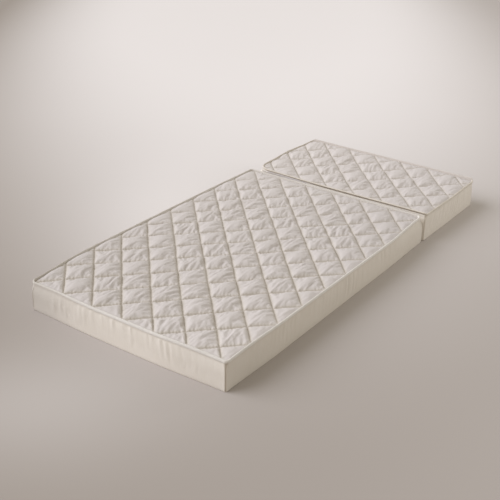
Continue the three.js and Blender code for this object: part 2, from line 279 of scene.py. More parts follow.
class Finish:
    def __init__(self, name):
        self.material = bpy.data.materials.new(name)
        self.material.use_nodes = True
        self.tree = self.material.node_tree
        self.shader = self.tree.nodes["Principled BSDF"]
        self.place = self.node("ShaderNodeTexCoord", output="Object")
        parts = self.node("ShaderNodeSeparateXYZ", sockets={0: self.place}, output=None)
        self.x, self.y, self.z = (Wire(self, parts.outputs[i]) for i in range(3))

    def node(self, kind, settings=None, sockets=None, output=0):
        made = self.tree.nodes.new(kind)
        for name, value in (settings or {}).items():
            setattr(made, name, value)
        for name, value in (sockets or {}).items():
            if isinstance(value, Wire):
                self.tree.links.new(value.socket, made.inputs[name])
            else:
                made.inputs[name].default_value = value
        return made if output is None else Wire(self, made.outputs[output])

    def noise(self, size, detail, stretch=None):    # size in metres
        place = self.place
        if stretch:
            place = self.node("ShaderNodeVectorMath", {"operation": "MULTIPLY"}, {0: place, 1: stretch})
        return self.node("ShaderNodeTexNoise", None, {
            "Vector": place, "Scale": 1.0 / size, "Detail": detail, "Roughness": 0.5,
        })

    def attribute(self, name):
        return self.node("ShaderNodeAttribute", {"attribute_name": name}, output="Fac")

    def blendColours(self, share, a, b):
        return self.node(
            "ShaderNodeMix",
            {"data_type": "RGBA"},
            {
                0: share,
                6: a if isinstance(a, Wire) else (*a, 1.0),
                7: b if isinstance(b, Wire) else (*b, 1.0),
            },
            output=2,
        )

    def bump(self, height, depth, normal=None):
        sockets = {"Strength": 1.0, "Distance": depth, "Height": height}
        if normal is not None:
            sockets["Normal"] = normal
        return self.node("ShaderNodeBump", None, sockets)

    # links or sets the shader's inputs, and gives the finished material
    def paint(self, **values):
        for name, value in values.items():
            socket = self.shader.inputs[shaderInputs[name]]
            if isinstance(value, Wire):
                self.tree.links.new(value.socket, socket)
            else:
                socket.default_value = value
        return self.material


# height of a plain weave, 0 to 1, from two directions along the cloth
def weave(u, v, pitch):
    warp, weft = (u * (math.pi / pitch)).sine(), (v * (math.pi / pitch)).sine()
    return (warp.size() + weft.size()) * 0.35 + warp * weft * 0.3


# colours, the weave's pitch, and the sizes of noises across the cloth
cloths = {
    # the quilt's lighter colour is painted light, laid on where the light is painted as stronger
    "quilt": {"litColour": (0.705, 0.655, 0.636), "colour": (0.553, 0.512, 0.496), "pitch": 0.8 * mm,
              "beige": (0.63, 0.58, 0.50), "beigeShare": 0.5,
              # the valley colour is painted shade in the seams' grooves
              "valley": (0.44, 0.385, 0.32), "valleyShadeShare": 0.75,
              "mottle": 90 * mm, "slub": 3 * mm, "creases": 9 * mm, "creaseDepth": 1.4 * mm},
    "wall": {"colour": (0.83, 0.775, 0.71), "dark": (0.78, 0.72, 0.645), "pitch": 0.9 * mm,
             # the seam colour is painted shade in the corner seams' grooves
             "seam": (0.46, 0.38, 0.30), "seamShadeShare": 0.8, "shaded": (0.60, 0.555, 0.505)},
    "base": {"colour": (0.58, 0.52, 0.44), "dark": (0.50, 0.44, 0.36), "pitch": 1.3 * mm},
    # the bindings' last two colours are painted shade: towards the corners and along some rolls, and at a
    # roll's foot in the crevice
    "binding": {"colour": (0.93, 0.895, 0.86), "dark": (0.83, 0.785, 0.735), "pitch": 1.2 * mm,
                "shaded": (0.62, 0.575, 0.525), "foot": (0.46, 0.40, 0.33)},
    "plainBinding": {"colour": (0.76, 0.70, 0.62), "dark": (0.67, 0.605, 0.52), "pitch": 1.2 * mm,
                     "shaded": (0.63, 0.58, 0.545), "foot": (0.50, 0.43, 0.355)},
    "tape": {"colour": (0.60, 0.54, 0.44), "dark": (0.52, 0.46, 0.37), "pitch": 0.9 * mm},
    "thread": {"colour": (0.66, 0.605, 0.54), "dark": (0.54, 0.485, 0.42), "pitch": 0.35 * mm},
    "foam": {"colour": (0.74, 0.65, 0.42), "dark": (0.58, 0.49, 0.29)},
}
plainWeave = {"mottle": 120 * mm, "slub": 3.5 * mm, "slubDepth": 0.4 * mm, "depth": 0.2 * mm}
tapeWeave = {"wear": 25 * mm, "thread": 0.7 * mm, "depth": 0.25 * mm, "edgeShare": 0.25}
foamLook = {"cells": 700.0, "patches": 150 * mm, "depth": 0.6 * mm}


def quiltCloth(look):
    made = Finish("quilted_cotton")
    mottle = made.noise(look["mottle"], 3.0)
    slub = made.noise(look["slub"], 2.0, stretch=(1.0, 0.12, 1.0))
    creases = made.noise(look["creases"], 2.0, stretch=(1.0, 0.25, 1.0))
    threads = weave(made.x, made.y, look["pitch"])
    shade = (mottle - 0.5) * 0.05 + (slub - 0.5) * 0.10 + (threads - 0.5) * 0.04
    # painted light and shade: the colour moves towards the lighter one by a share that changes across the pad
    light = made.blendColours(made.attribute("fade") + shade, look["colour"], look["litColour"])
    light = made.blendColours(made.attribute("beige") * look["beigeShare"], light, look["beige"])
    creased = made.bump(slub, 0.35 * mm, made.bump(creases, look["creaseDepth"]))
    # the valley colour paints shade into the seams' grooves
    return made.paint(
        colour=made.blendColours(made.attribute("seam") * look["valleyShadeShare"], light, look["valley"]),
        roughness=0.86 + slub * 0.1,
        normal=made.bump(threads, 0.15 * mm, creased),
        sheen=0.12, sheenRoughness=0.5, specular=0.25,
    )


# an upright cloth runs round a pad and a flat one lies level; a sewn one takes painted shade in its corner
# seams' grooves and towards some of its corners
def plainCloth(name, look, upright, sewn=False):
    made = Finish(name)
    u = made.x + made.y if upright else made.x
    v = made.z if upright else made.y
    stretch = (1.0, 1.0, 0.12) if upright else (1.0, 0.12, 1.0)
    threads = weave(u, v, look["pitch"])
    mottle = made.noise(plainWeave["mottle"], 3.0)
    slub = made.noise(plainWeave["slub"], 2.0, stretch=stretch)
    shade = (mottle - 0.5) * 0.5 + (slub - 0.5) * 0.6 + (threads - 0.5) * 0.3
    colour = made.blendColours(shade.between(-0.35, 0.35), look["dark"], look["colour"])
    if sewn:
        # painted shade towards some corners of the pad
        colour = made.blendColours(made.attribute("soil"), colour, look["shaded"])
        # painted shade in the corner seams' grooves
        colour = made.blendColours(made.attribute("seam") * look["seamShadeShare"], colour, look["seam"])
    return made.paint(
        colour=colour,
        roughness=0.85 + slub * 0.1,
        normal=made.bump(threads, plainWeave["depth"], made.bump(slub, plainWeave["slubDepth"])),
        sheen=0.1, sheenRoughness=0.5, specular=0.25,
    )


# tape with ribs across it; "along" runs round the pad and "across" over the roll, in metres
def bindingTape(name, look):
    made = Finish(name)
    ribs = (made.attribute("along") * (math.pi / look["pitch"])).sine().size()
    threads = (made.attribute("across") * (math.pi / tapeWeave["thread"])).sine().size()
    wear = made.noise(tapeWeave["wear"], 3.0)
    shade = (ribs * 0.5 + threads * 0.5) * 0.35 + wear * 0.65
    light = made.blendColours(shade.between(0.1, 0.6), look["dark"], look["colour"])
    # painted shade towards the corners and along some rolls, then painted shade at the roll's foot in the
    # crevice
    light = made.blendColours(made.attribute("soil"), light, look["shaded"])
    light = made.blendColours(made.attribute("foot"), light, look["foot"])
    return made.paint(
        colour=made.blendColours(made.attribute("edge") * tapeWeave["edgeShare"], light, look["dark"]),
        roughness=0.72 + wear * 0.16,
        normal=made.bump(ribs + threads * 0.6, tapeWeave["depth"]),
        sheen=0.15, sheenRoughness=0.4, specular=0.3,
    )


def threadFinish(look):
    made = Finish("sewing_thread")
    twist = ((made.x + made.y + made.z) * (math.pi / look["pitch"])).sine().size()
    return made.paint(
        colour=made.blendColours(twist, look["dark"], look["colour"]),
        roughness=0.6 + twist * 0.15,
        normal=made.bump(twist, 0.1 * mm),
        sheen=0.1, specular=0.35,
    )


def foamFinish(look):
    made = Finish("open_cell_foam")
    sockets = {"Vector": made.place, "Scale": foamLook["cells"]}
    cells = made.node("ShaderNodeTexVoronoi", {"feature": "F1"}, sockets)
    patches = made.noise(foamLook["patches"], 3.0)
    shade = (cells * 0.7 + patches * 0.5).between(0.2, 0.8)
    return made.paint(
        colour=made.blendColours(shade, look["dark"], look["colour"]),
        roughness=0.88 + cells * 0.1,
        normal=made.bump(cells, foamLook["depth"]),
        specular=0.2,
    )


zipColours = {
    "metal": {"colour": (0.56, 0.55, 0.53), "worn": (0.40, 0.36, 0.31), "wornShare": 0.6},
    "nylon": {"colour": (0.62, 0.55, 0.45), "dark": (0.50, 0.43, 0.34)},
}


def zipMetal(look):
    made = Finish("nickel_plate")
    scratches = made.noise(1.2 * mm, 4.0, stretch=(1.0, 1.0, 0.1))
    worn = made.noise(5 * mm, 3.0).between(0.45, 0.75) * look["wornShare"]
    return made.paint(
        colour=made.blendColours(worn, look["colour"], look["worn"]),
        roughness=0.24 + scratches * 0.25,
        normal=made.bump(scratches, 0.03 * mm),
        metallic=1.0,
    )


def zipNylon(look):
    made = Finish("nylon_coil")
    patches = made.noise(6 * mm, 3.0)
    grime = made.noise(0.8 * mm, 2.0)
    return made.paint(
        colour=made.blendColours(patches.between(0.4, 0.7), look["colour"], look["dark"]),
        roughness=0.38 + grime * 0.2,
        normal=made.bump(grime, 0.04 * mm),
        specular=0.45,
    )


finishes = {
    "quilt": quiltCloth(cloths["quilt"]),
    "wall": plainCloth("cream_wall_cotton", cloths["wall"], True, True),
    "hinge": plainCloth("cream_hinge_cotton", cloths["wall"], False),
    "base": plainCloth("coarse_base_cotton", cloths["base"], False),
    "long_binding": bindingTape("white_binding_tape", cloths["binding"]),
    "short_binding": bindingTape("cream_binding_tape", cloths["plainBinding"]),
    "tape": plainCloth("zip_tape_weave", cloths["tape"], True),
    "thread": threadFinish(cloths["thread"]),
    "foam": foamFinish(cloths["foam"]),
    "metal": zipMetal(zipColours["metal"]),
    "nylon": zipNylon(zipColours["nylon"]),
}
print("finishes mixed")


# The pads' outlines. Sides are listed front, right, back, left, and corners right front, right back,
# left back, left front. A corner is drawn in across the pad and along it. The roll stands out past the
# plain binding, rises above it, and its outer foot is tucked under it. The quilting's first crossing is
# given from the right side and the front end. Pressed is how much of its thickness a soft top keeps
# when the pads are folded together. Lengths are in millimetres.

padLooks = {
    "long": {
        "lengths": {
            "topRadii": (16, 20, 20, 16),
            "wallRadii": (7, 12, 18, 7),
            "topDraw": ((6, 13), (14, 4), (5, 0), (15, 12)),
            "wallDraw": ((7, 10), (3, 2), (8, 6), (18, 7)),
            "rollOut": (5, 6, 4, 8),
            "tucks": (0, 0, 3, 1),
            "rollRise": (0, 0, 4, 5),
            "cornerDrops": (5, 0, 0, 6),
            "rollWidths": (9, 7, 9, 6.5),
            "cornerGrooves": (1.5, 0, 0, 0.5),
            "seamFrom": (82, 87),
        },
        "shares": {
            # painted shade towards each corner, along each side's roll, and at each side's roll foot
            "cornerSoil": (0.25, 0.1, 0.1, 1.0),
            "rollSoil": (0.42, 0, 0.8, 0.46),
            "footShade": (0, 0, 0.5, 0),
            "pressed": {"panel": 0.83, "roll": 0.8},
            "skew": -0.031,
            # painted light on the quilt: its share in the middle, and how it changes across the pad
            "fade": (0.5, -0.36, -0.05, -0.9),    # middle, to the right, to the back, to both, per metre
        },
    },
    "short": {
        "lengths": {
            "topRadii": (16, 12, 20, 72),
            "wallRadii": (9, 8, 18, 34),
            "topDraw": ((5, 3), (3, 3), (18, -4), (13, 9)),
            "wallDraw": ((3, 2), (0, 0), (7, 3), (10, 5)),
            "rollOut": (-6, 8, 18, 5),
            "tucks": (3, 1, 6, 1),
            "rollRise": (7, 0, 13, 5),
            "cornerDrops": (0, 0, 0, 0),
            "rollWidths": (8, 7, 8, 7),
            "cornerGrooves": (0.8, 0.8, 0, 0),
            "seamFrom": (107, 64),
        },
        "shares": {
            # painted shade towards each corner, along each side's roll, and at each side's roll foot
            "cornerSoil": (0, 0, 0.1, 0.1),
            "rollSoil": (0.1, 0, 0.8, 0.3),
            "footShade": (1.0, 0, 0, 0),
            "pressed": {"panel": 0.62, "roll": 0.5},
            "skew": -0.02,
            # painted light on the quilt: its share in the middle, and how it changes across the pad
            "fade": (0.62, -0.55, 0, 0),
        },
    },
}
drawReach = 300 * mm      # how far from a corner its drawing in is felt
leastRadius = 2 * mm
liftReach = 70 * mm       # how far from a raised binding the top stays raised
dropReach = 130 * mm      # and how far from a squashed corner it stays low
shadeReach = 210 * mm      # how far from a corner its painted shade reaches
headings = np.radians([-90, 0, 90, 180])
inward = np.array([[-1, 1], [-1, -1], [1, -1], [1, 1]])
acrossAxis = (1, 0, 1, 0)      # the axis that a side's own outward direction lies along


def boxCorners(low, high):
    return np.array([[high[0], low[1]], [high[0], high[1]], [low[0], high[1]], [low[0], low[1]]])


class Pad:
    def __init__(self, name, look):
        self.name = name
        self.body = f"{name}_pad"
        for key, value in look["shares"].items():
            setattr(self, key, value)
        for key, value in look["lengths"].items():
            setattr(self, key, np.array(value) * mm)
        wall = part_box(f"{name}_side_wall")
        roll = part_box(f"{name}_top_binding")
        front, right, back, left = self.rollOut
        self.wallBox = np.array([wall[0][:2], wall[1][:2]])
        self.rollBox = np.array([roll[0][:2], roll[1][:2]]) + [[-left, -front], [right, back]]
        self.wallTop = wall[1].z
        self.rollBottom, self.rollTop = roll[0].z, roll[1].z
        self.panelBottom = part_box(f"{name}_quilted_top")[0].z
        fromSide, fromEnd = self.seamFrom
        self.seam = np.array([self.wallBox[1][0] - fromSide, self.wallBox[0][1] + fromEnd])

    # places round the outline, counter-clockwise from the left end of the front side
    def places(self, spacing, turnSteps):
        reaches = np.tile(self.wallBox[1] - self.wallBox[0], 2)
        side, share, turning = [], [], []
        for number, reach in enumerate(reaches):
            steps = int(round(reach / spacing))
            side.extend([number] * (steps + turnSteps))
            share.extend([*np.arange(steps) / steps, *np.arange(turnSteps) / turnSteps])
            turning.extend([False] * steps + [True] * turnSteps)
        found = {"side": np.array(side), "share": np.array(share), "turning": np.array(turning)}
        ring, _ = self.ring(found, 0.0)
        steps = np.linalg.norm(np.roll(ring, -1, axis=0) - ring, axis=1)
        found["along"] = np.concatenate([[0], np.cumsum(steps)[:-1]])
        found["round"] = steps.sum()
        return found

    # a value given for each side, turned smoothly into the next side's round each corner
    def bySide(self, places, values):
        values = np.asarray(values, float)
        nextOne = values[(places["side"] + 1) % 4]
        turned = np.where(places["turning"], ease(0, 1, places["share"]), 0)
        return mix(values[places["side"]], nextOne, turned)

    # how much painted shade lies at each place round the pad, most at its corners
    def shaded(self, places):
        share = np.zeros(len(places["along"]))
        for corner, most in enumerate(self.cornerSoil):
            share = share + most * bell(self.fromCorner(places, corner), shadeReach)
        return share

    # how far round the pad each place lies from the middle of a corner, or from a place beside it
    def fromCorner(self, places, corner, aside=0.0):
        middle = places["along"][(places["side"] == corner) & places["turning"]].mean() + aside
        return (places["along"] - middle + places["round"] / 2) % places["round"] - places["round"] / 2

    # how much lower the top lies at a place near a squashed corner
    def drop(self, x, y):
        low, high = self.rollBox
        corners = zip(self.cornerDrops, boxCorners(low, high))
        return sum(depth * bell(np.hypot(x - cx, y - cy), dropReach) for depth, (cx, cy) in corners)

    # how much higher the top stands at a place, beside a side whose binding is raised
    def lift(self, x, y):
        low, high = self.rollBox
        away = np.stack([y - low[1], high[0] - x, high[1] - y, x - low[0]])
        weights = np.exp(-np.maximum(away, 0) / liftReach)
        raised = np.tensordot(self.rollRise, weights, 1) / np.maximum(weights.sum(axis=0), 1)
        return raised - self.drop(x, y)

    # points and outward directions; drawn is 0 at the belly and 1 at the binding's foot, and depth,
    # one value or one for each side, says how far in from the outline the points lie
    def ring(self, places, drawn, depth=0.0):
        depth = np.broadcast_to(np.asarray(depth, float), (4,))
        low, high = mix(self.wallBox, self.rollBox, drawn)
        low = low + depth[[3, 0]]
        high = high - depth[[1, 2]]
        drawn = np.clip(drawn, 0, 1)
        radii = mix(self.wallRadii, self.topRadii, drawn) - (depth + np.roll(depth, -1)) / 2
        radii = np.maximum(radii, leastRadius)
        pull = mix(self.wallDraw, self.topDraw, drawn)
        centres = boxCorners(low, high) + inward * (radii[:, None] + pull)
        side, share, turning = places["side"], places["share"][:, None], places["turning"]
        heading = headings[side] + np.where(turning, share[:, 0] * math.pi / 2, 0)
        out = np.stack([np.cos(heading), np.sin(heading)], axis=1)
        before = side - 1
        axis = np.array(acrossAxis)[side]
        start = centres[before] + radii[before][:, None] * out
        end = centres[side] + radii[side][:, None] * out
        line = mix(start, end, share)
        toCorner = np.minimum(np.linalg.norm(start - line, axis=1), np.linalg.norm(end - line, axis=1))
        swell = mix(pull[before, axis], pull[side, axis], share[:, 0]) * ease(0, drawReach, toCorner)
        straight = line + swell[:, None] * out
        bend = centres[side] + radii[side][:, None] * out
        return np.where(turning[:, None], bend, straight), out

    # how far a point lies inside the binding's inner foot
    def inset(self, x, y):
        low, high = self.rollBox
        width, length = high - low
        acrossShare = np.clip((x - low[0]) / width, 0, 1)
        alongShare = np.clip((y - low[1]) / length, 0, 1)

        def edge(first, last, axis, share, reach):
            near = np.minimum(share, 1 - share) * reach
            drawn = mix(self.topDraw[first][axis], self.topDraw[last][axis], share)
            return drawn * (1 - ease(0, drawReach, near))

        front = y - low[1] - edge(3, 0, 1, acrossShare, width) - self.rollWidths[0]
        right = high[0] - x - edge(0, 1, 0, alongShare, length) - self.rollWidths[1]
        back = high[1] - y - edge(2, 1, 1, acrossShare, width) - self.rollWidths[2]
        left = x - low[0] - edge(3, 2, 0, alongShare, length) - self.rollWidths[3]
        sideways, lengthways = np.minimum(left, right), np.minimum(front, back)
        corner = np.where(y < (low[1] + high[1]) / 2, np.where(x < 0, 3, 0), np.where(x < 0, 2, 1))
        radius = (self.topRadii - (self.rollWidths + np.roll(self.rollWidths, -1)) / 2)[corner]
        radius = np.maximum(radius, leastRadius)
        rounded = radius - np.hypot(np.maximum(radius - sideways, 0), np.maximum(radius - lengthways, 0))
        inCorner = (sideways < radius) & (lengthways < radius)
        return np.where(inCorner, rounded, np.minimum(sideways, lengthways))


pads = [Pad(name, look) for name, look in padLooks.items()]


# Quilted tops: a face cloth over wadding, stitched through in diamonds

quilt = {
    "diamond": np.array([143.5, 151.5]) * mm,
    "steps": 20,                 # cells along one side of a diamond
    "cutMargin": 3 * mm,         # the panel's cut edge, past the binding's inner foot
    "seamHeight": 6.4 * mm,      # of the seams over the panel's underside
    "crown": 2.5 * mm,
    "puff": 6.5 * mm,
    "puffPower": 0.26,
    "groove": 3.0 * mm,          # how much deeper the thread pulls the seam itself
    "grooveWidth": 2.5 * mm,
    "valley": 1.5 * mm,          # how far on each side of the thread the cloth lies flat
    "edgeShare": 0.62,           # how much of the puff is left beside the binding
    "edgeReach": 60 * mm,
    "edgeDip": 1.5 * mm,
    "edgeLift": 6 * mm,          # the puffs rise from the binding within about this distance
    "seamShadeWidth": 2.8 * mm,        # how far from the thread the painted shade of its groove reaches
    "beigeTint": 9 * mm,         # and the beige on both sides of it
    "wander": 1.6 * mm,          # how far the sewing strays from its lines
    "crease": 1.3 * mm,
    "pucker": 0.9 * mm,
    "puckerReach": 7 * mm,
    "slackShare": 0.7,           # the puffs' height at the far left, where the sewing is slackest
    "slackTint": 0.5,            # and how much of the valleys' painted shade and beige tint is left there
    "unevenFill": 0.10,          # how much one diamond's puff differs from the next one's
    "creaseApart": 12 * mm,
    "creaseLength": 60 * mm,
}
quiltThread = {
    "pitch": 11.5 * mm, "length": 8.0 * mm, "radius": 0.5 * mm, "lift": 0.1 * mm, "fromEdge": 6 * mm,
}


class QuiltLines:
    def __init__(self, pad, sizes):
        self.pad = pad
        self.sizes = sizes
        self.half = sizes["diamond"] / 2
        self.side = np.linalg.norm(self.half)

    # a counts diamonds along one set of seams and b along the other
    def spot(self, a, b):
        x = self.pad.seam[0] + (a - b) * self.half[0]
        y = self.pad.seam[1] + (a + b) * self.half[1] + self.pad.skew * x
        stray = self.sizes["wander"]
        return (
            x + stray * hills(x / 0.11, y / 0.16, 1),
            y + stray * hills(x / 0.16, y / 0.11, 2),
        )

    def fromSeam(self, a, b):
        return np.minimum(np.abs(a - np.round(a)), np.abs(b - np.round(b))) * self.side

    # 0 at the near right corner of the pads, 1 at the far left one
    def slack(self, x, y):
        return ease(-0.85, 0.85, 0.82 * y - 0.57 * x)

    def height(self, a, b, x, y):
        sizes = self.sizes
        inset = self.pad.inset(x, y)
        low, high = self.pad.wallBox
        across = np.clip(2 * (x - low[0]) / (high[0] - low[0]) - 1, -1, 1)
        along = np.clip(2 * (y - low[1]) / (high[1] - low[1]) - 1, -1, 1)
        crown = sizes["crown"] * (1 - across ** 2) * (1 - along ** 2)
        column, row = np.floor(a + 1e-9), np.floor(b + 1e-9)
        flat = sizes["valley"] / self.side
        u, v = (np.clip((value - flat) / (1 - 2 * flat), 0, 1) for value in (a - column, b - row))
        fullness = 1 + sizes["unevenFill"] * hills(column * 7.3, row * 5.1, 3)
        puff = np.clip(np.sin(math.pi * u) * np.sin(math.pi * v), 0, 1) ** sizes["puffPower"]
        rise = mix(sizes["edgeShare"], 1.0, ease(0, sizes["edgeReach"], inset))
        lifted = 1 - np.exp(-np.maximum(inset, 0) / sizes["edgeLift"])
        slackened = mix(1.0, sizes["slackShare"], self.slack(x, y))
        body = sizes["puff"] * fullness * puff * rise * lifted * slackened
        dip = sizes["edgeDip"] * (1 - ease(-2 * mm, 16 * mm, inset))
        return self.pad.panelBottom + sizes["seamHeight"] + crown + body - dip + self.pad.lift(x, y)

    # small creases that run along the pad, and the puckers that each stitch draws in beside its seam
    def ripples(self, a, b, x, y):
        sizes = self.sizes
        apart = self.fromSeam(a, b)
        inset = self.pad.inset(x, y)
        lifted = ease(0, 20 * mm, inset)
        bent = x / sizes["creaseApart"] + 2 * hills(x / 0.09, y / 0.09, 6)
        ridges = 1 - 2 * np.abs(hills(bent, y / sizes["creaseLength"], 5))
        patches = ease(-0.4, 0.5, hills(x / 0.06, y / 0.05, 8))
        patches = patches * mix(0.4, 1.0, ease(20 * mm, 160 * mm, inset))
        creases = sizes["crease"] * ridges * patches * ease(2 * mm, 14 * mm, apart)
        nearA = np.abs(a - np.round(a)) < np.abs(b - np.round(b))
        run = np.where(nearA, b, a) * self.side
        pull = np.cos(2 * math.pi * run / quiltThread["pitch"]) + 0.5 * hills(run / 0.009, a + b, 9)
        beside = bell(apart - sizes["puckerReach"] / 2, sizes["puckerReach"] / 2)
        groove = sizes["groove"] * bell(apart, sizes["grooveWidth"])
        return (creases + sizes["pucker"] * pull * beside - groove) * lifted

    def ranges(self):
        p, q = ((boxCorners(*self.pad.wallBox) - self.pad.seam) / self.half).T
        counts = []
        for along in ((p + q) / 2, (q - p) / 2):
            counts += [math.floor(along.min()) - 1, math.ceil(along.max()) + 1]
        return counts


# the points on a mesh's rim, in order, from its quads
def rimOf(quads):
    edges = np.concatenate([quads[:, [i, (i + 1) % 4]] for i in range(4)])
    _, first, times = np.unique(np.sort(edges, axis=1), axis=0, return_index=True, return_counts=True)
    following = dict(edges[first[times == 1]].tolist())
    start = min(following)
    loop = [start]
    while following[loop[-1]] != start:
        loop.append(following[loop[-1]])
    return np.array(loop)


def quiltSheet(pad, lines, sizes):
    steps = sizes["steps"]
    aLow, aHigh, bLow, bHigh = lines.ranges()
    a, b = np.meshgrid(
        np.arange((aHigh - aLow) * steps + 1) / steps + aLow,
        np.arange((bHigh - bLow) * steps + 1) / steps + bLow,
        indexing="ij",
    )
    x, y = lines.spot(a, b)
    kept = pad.inset(x, y) > -sizes["cutMargin"]
    whole = kept[:-1, :-1] & kept[1:, :-1] & kept[1:, 1:] & kept[:-1, 1:]
    number = np.arange(a.size).reshape(a.shape)
    quads = np.stack([number[:-1, :-1], number[1:, :-1], number[1:, 1:], number[:-1, 1:]], axis=-1)[whole]
    used, quads = np.unique(quads, return_inverse=True)
    quads = quads.reshape(-1, 4)
    a, b, x, y = (values.ravel()[used] for values in (a, b, x, y))
    rim = rimOf(quads)
    probe, leastSlope = 1 * mm, 0.25
    for _ in range(3):      # the rim's points move out square to the binding, to one smooth cut edge
        right, up = x[rim], y[rim]
        here = pad.inset(right, up)
        slopeX = (pad.inset(right + probe, up) - pad.inset(right - probe, up)) / (2 * probe)
        slopeY = (pad.inset(right, up + probe) - pad.inset(right, up - probe)) / (2 * probe)
        steep = np.maximum(slopeX ** 2 + slopeY ** 2, leastSlope)
        x[rim] -= (here + sizes["cutMargin"]) * slopeX / steep
        y[rim] -= (here + sizes["cutMargin"]) * slopeY / steep
    return a, b, x, y, quads, rim


# Inside every diamond the face cloth is cut larger than its seams leave room for. Each diamond starts
# as its own larger flat piece, its rim moves to the seams, and the cloth between swells and creases.
gathering = {
    "across": 0.10,
    "along": 0.03,
    "uneven": 0.35,          # how much the extra cloth differs from one diamond to the next
    "turn": 0.35,            # and its direction, in radians
    "edgeShare": 0.45,       # how much of it is left in the diamonds at the binding
    "edgeReach": 110 * mm,
    "pressure": 12.0,
    "frames": 14,
    "gatheredBy": 8,
    "quality": 4,
    "mass": 0.001,
    "stiffness": 15.0,
    "bending": 0.0002,
    "cap": 9 * mm,           # the furthest that any point may move
    "seamReach": 0.1 * mm,   # points nearer than this to a seam line are held
    "seed": 5,
}


def turned(x, y, turn):
    return np.cos(turn) * x - np.sin(turn) * y, np.sin(turn) * x + np.cos(turn) * y


def gatherCloth(pad, lines, a, b, points, quads, rim, settings):
    columns, rows = (np.floor(values[quads].mean(axis=1)).astype(int) for values in (a, b))
    _, diamond = np.unique(np.column_stack([columns, rows]), axis=0, return_inverse=True)
    diamond = diamond.ravel()
    keys, parts = np.unique(diamond[:, None] * len(points) + quads, return_inverse=True)
    parts = parts.reshape(-1, 4)
    owner, source = keys // len(points), keys % len(points)
    sewn = points[source]
    count = owner.max() + 1
    centres = np.stack([np.bincount(owner, sewn[:, i]) / np.bincount(owner) for i in range(2)], axis=1)
    random = np.random.default_rng(settings["seed"]).uniform(-1, 1, (3, count))
    kept = mix(settings["edgeShare"], 1.0, ease(0, settings["edgeReach"], pad.inset(*centres.T)))
    extra = [
        (settings[way] * kept * (1 + settings["uneven"] * random[i]))[owner]
        for i, way in enumerate(("across", "along"))
    ]
    turn = (settings["turn"] * random[2])[owner]
    first, second = turned(*(sewn[:, :2] - centres[owner]).T, -turn)
    wide = sewn.copy()
    wide[:, :2] += np.column_stack(turned(first * extra[0], second * extra[1], turn))

    sheet = addObject(f"{pad.name}_face_cloth", wide, parts)
    sheet.shape_key_add(name="Basis")
    key = sheet.shape_key_add(name="sewn")
    key.data.foreach_set("co", sewn.astype(np.float32).ravel())
    for frame, value in ((1, 0.0), (settings["gatheredBy"], 1.0)):
        key.value = value
        key.keyframe_insert("value", frame=frame)
    held = lines.fromSeam(a, b) < settings["seamReach"]
    held[rim] = True
    group = sheet.vertex_groups.new(name="sewn")
    group.add(np.nonzero(held[source])[0].tolist(), 1.0, "REPLACE")
    cloth = sheet.modifiers.new("gathering", "CLOTH")
    cloth.collision_settings.use_collision = False
    cloth.collision_settings.use_self_collision = False
    cloth.point_cache.frame_start = 1
    cloth.point_cache.frame_end = settings["frames"]
    stiffness = settings["stiffness"]
    values = {
        "quality": settings["quality"], "mass": settings["mass"], "air_damping": 1.0,
        "tension_stiffness": stiffness, "compression_stiffness": stiffness,
        "shear_stiffness": stiffness / 3, "bending_stiffness": settings["bending"],
        "tension_damping": 1.0, "compression_damping": 1.0, "shear_damping": 1.0, "bending_damping": 0.1,
        "vertex_group_mass": "sewn", "pin_stiffness": 1.0,
        "use_pressure": True, "uniform_pressure_force": settings["pressure"],
    }
    for name, value in values.items():
        setattr(cloth.settings, name, value)
    cloth.settings.effector_weights.gravity = 0
    for frame in range(1, settings["frames"] + 1):
        scene.frame_set(frame)
    settled = sheet.evaluated_get(bpy.context.evaluated_depsgraph_get()).to_mesh()
    moved = meshPoints(settled) - sewn
    scene.frame_set(1)
    bpy.data.objects.remove(sheet, do_unlink=True)
    far = np.linalg.norm(moved, axis=1)
    moved *= np.minimum(1, settings["cap"] / np.maximum(far, 1e-9))[:, None]
    moved[held[source]] = 0
    gathered = points.copy()
    gathered[source] = sewn + moved
    return gathered


